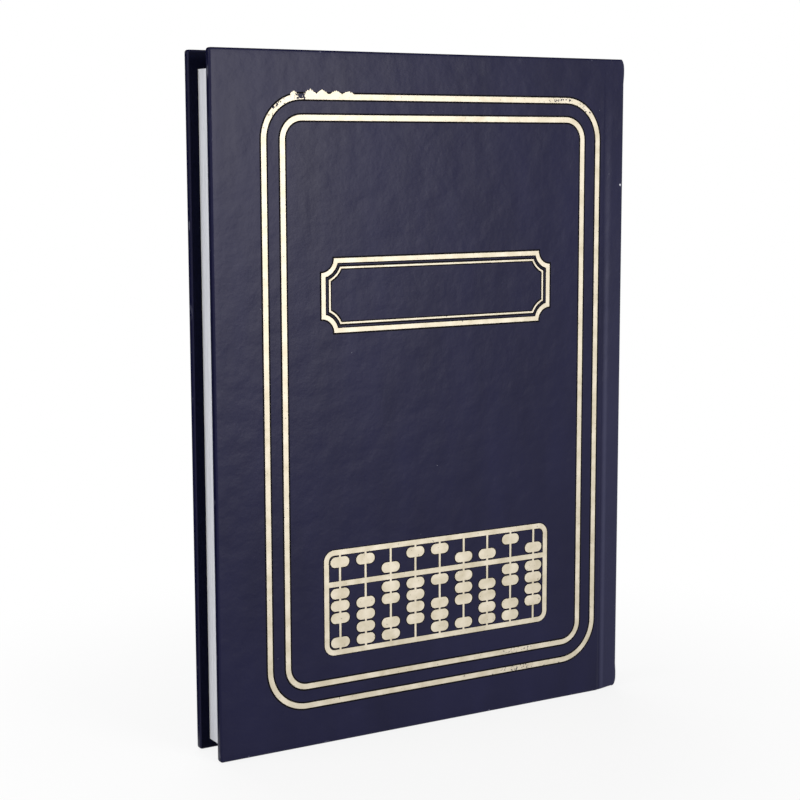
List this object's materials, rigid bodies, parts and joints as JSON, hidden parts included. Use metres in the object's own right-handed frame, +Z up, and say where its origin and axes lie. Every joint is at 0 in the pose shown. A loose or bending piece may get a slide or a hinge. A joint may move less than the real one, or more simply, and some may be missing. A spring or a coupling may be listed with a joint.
{
  "type": "accounting ledger",
  "caption": "Hardback account book: sewn ruled pages in a navy cloth case, spine on the right, gold foil frame, plaque and abacus; both covers swing open and the leaves fan.",
  "frame": {"origin": "centre of the footprint of the standing closed book, on the surface it stands on", "axes": "+Z up the height of the book, +X from the fore edge to the spine, -Y out of the front cover"},
  "size_m": [0.1724, 0.0202, 0.245],
  "materials": {
    "cover_cloth": "satin navy leatherette",
    "gold_foil": "hot-stamped pale gold foil",
    "greyboard": "dense grey board",
    "endpaper": "plain white endpaper",
    "ledger_paper": "white paper ruled in columns",
    "mull_cloth": "open-weave cotton",
    "band_cloth": "corded cotton",
    "thread": "linen thread",
    "glue": "dry flexible glue",
    "kraft_lining": "brown kraft paper"
  },
  "bodies": {
    "text_block": {"spine_strip": "greyboard", "spine_cloth": "cover_cloth", "spine_foil": "gold_foil", "spine_lining": "kraft_lining", "mull": "mull_cloth", "spine_glue": "glue", "sewing_thread": "thread", "head_band": "band_cloth", "tail_band": "band_cloth", "tape_1": "mull_cloth", "tape_2": "mull_cloth", "tape_3": "mull_cloth", "section_1": "ledger_paper", "section_2": "ledger_paper", "section_3": "ledger_paper", "section_4": "ledger_paper", "section_5": "ledger_paper", "section_6": "ledger_paper", "section_7": "ledger_paper", "section_8": "ledger_paper", "section_9": "ledger_paper"},
    "front_cover": {"front_board": "greyboard", "front_cloth": "cover_cloth", "front_mull_flap": "mull_cloth", "front_pastedown": "endpaper", "front_foil_frame": "gold_foil", "front_foil_plaque": "gold_foil", "front_foil_abacus": "gold_foil"},
    "back_cover": {"back_board": "greyboard", "back_cloth": "cover_cloth", "back_mull_flap": "mull_cloth", "back_pastedown": "endpaper"},
    "front_flyleaf": {"front_flyleaf": "endpaper"},
    "front_leaf_1": {"front_leaf_1": "ledger_paper"},
    "front_leaf_2": {"front_leaf_2": "ledger_paper"},
    "front_leaf_3": {"front_leaf_3": "ledger_paper"},
    "front_leaf_4": {"front_leaf_4": "ledger_paper"},
    "front_leaf_5": {"front_leaf_5": "ledger_paper"},
    "front_leaf_6": {"front_leaf_6": "ledger_paper"},
    "back_flyleaf": {"back_flyleaf": "endpaper"},
    "back_leaf_1": {"back_leaf_1": "ledger_paper"},
    "back_leaf_2": {"back_leaf_2": "ledger_paper"},
    "back_leaf_3": {"back_leaf_3": "ledger_paper"},
    "back_leaf_4": {"back_leaf_4": "ledger_paper"}
  },
  "joints": [
    {"name": "front_cover_hinge", "type": "hinge", "parent": "text_block", "child": "front_cover", "pos_m": [0.085, -0.00881, 0.1225], "axis": [0, 0, 1], "range_deg": [0, 178]},
    {"name": "back_cover_hinge", "type": "hinge", "parent": "text_block", "child": "back_cover", "pos_m": [0.085, 0.00881, 0.1225], "axis": [0, 0, -1], "range_deg": [0, 178]},
    {"name": "front_flyleaf_turn", "type": "hinge", "parent": "text_block", "child": "front_flyleaf", "pos_m": [0.085, -0.00881, 0.1225], "axis": [0, 0, 1], "range_deg": [0, 171.77]},
    {"name": "front_leaf_1_turn", "type": "hinge", "parent": "text_block", "child": "front_leaf_1", "pos_m": [0.085, -0.00881, 0.1225], "axis": [0, 0, 1], "range_deg": [0, 161.98]},
    {"name": "front_leaf_2_turn", "type": "hinge", "parent": "text_block", "child": "front_leaf_2", "pos_m": [0.085, -0.00881, 0.1225], "axis": [0, 0, 1], "range_deg": [0, 149.52]},
    {"name": "front_leaf_3_turn", "type": "hinge", "parent": "text_block", "child": "front_leaf_3", "pos_m": [0.085, -0.00881, 0.1225], "axis": [0, 0, 1], "range_deg": [0, 131.72]},
    {"name": "front_leaf_4_turn", "type": "hinge", "parent": "text_block", "child": "front_leaf_4", "pos_m": [0.085, -0.00881, 0.1225], "axis": [0, 0, 1], "range_deg": [0, 106.8]},
    {"name": "front_leaf_5_turn", "type": "hinge", "parent": "text_block", "child": "front_leaf_5", "pos_m": [0.085, -0.00881, 0.1225], "axis": [0, 0, 1], "range_deg": [0, 74.76]},
    {"name": "front_leaf_6_turn", "type": "hinge", "parent": "text_block", "child": "front_leaf_6", "pos_m": [0.085, -0.00881, 0.1225], "axis": [0, 0, 1], "range_deg": [0, 39.16]},
    {"name": "back_flyleaf_turn", "type": "hinge", "parent": "text_block", "child": "back_flyleaf", "pos_m": [0.085, 0.00881, 0.1225], "axis": [0, 0, -1], "range_deg": [0, 171.77]},
    {"name": "back_leaf_1_turn", "type": "hinge", "parent": "text_block", "child": "back_leaf_1", "pos_m": [0.085, 0.00881, 0.1225], "axis": [0, 0, -1], "range_deg": [0, 156.64]},
    {"name": "back_leaf_2_turn", "type": "hinge", "parent": "text_block", "child": "back_leaf_2", "pos_m": [0.085, 0.00881, 0.1225], "axis": [0, 0, -1], "range_deg": [0, 128.16]},
    {"name": "back_leaf_3_turn", "type": "hinge", "parent": "text_block", "child": "back_leaf_3", "pos_m": [0.085, 0.00881, 0.1225], "axis": [0, 0, -1], "range_deg": [0, 89]},
    {"name": "back_leaf_4_turn", "type": "hinge", "parent": "text_block", "child": "back_leaf_4", "pos_m": [0.085, 0.00881, 0.1225], "axis": [0, 0, -1], "range_deg": [0, 46.28]}
  ],
  "couplings": [
    {"joint": "front_flyleaf_turn", "follows": "front_cover_hinge", "ratio": 0.965},
    {"joint": "front_leaf_1_turn", "follows": "front_cover_hinge", "ratio": 0.91},
    {"joint": "front_leaf_2_turn", "follows": "front_cover_hinge", "ratio": 0.84},
    {"joint": "front_leaf_3_turn", "follows": "front_cover_hinge", "ratio": 0.74},
    {"joint": "front_leaf_4_turn", "follows": "front_cover_hinge", "ratio": 0.6},
    {"joint": "front_leaf_5_turn", "follows": "front_cover_hinge", "ratio": 0.42},
    {"joint": "front_leaf_6_turn", "follows": "front_cover_hinge", "ratio": 0.22},
    {"joint": "back_flyleaf_turn", "follows": "back_cover_hinge", "ratio": 0.965},
    {"joint": "back_leaf_1_turn", "follows": "back_cover_hinge", "ratio": 0.88},
    {"joint": "back_leaf_2_turn", "follows": "back_cover_hinge", "ratio": 0.72},
    {"joint": "back_leaf_3_turn", "follows": "back_cover_hinge", "ratio": 0.5},
    {"joint": "back_leaf_4_turn", "follows": "back_cover_hinge", "ratio": 0.26}
  ]
}
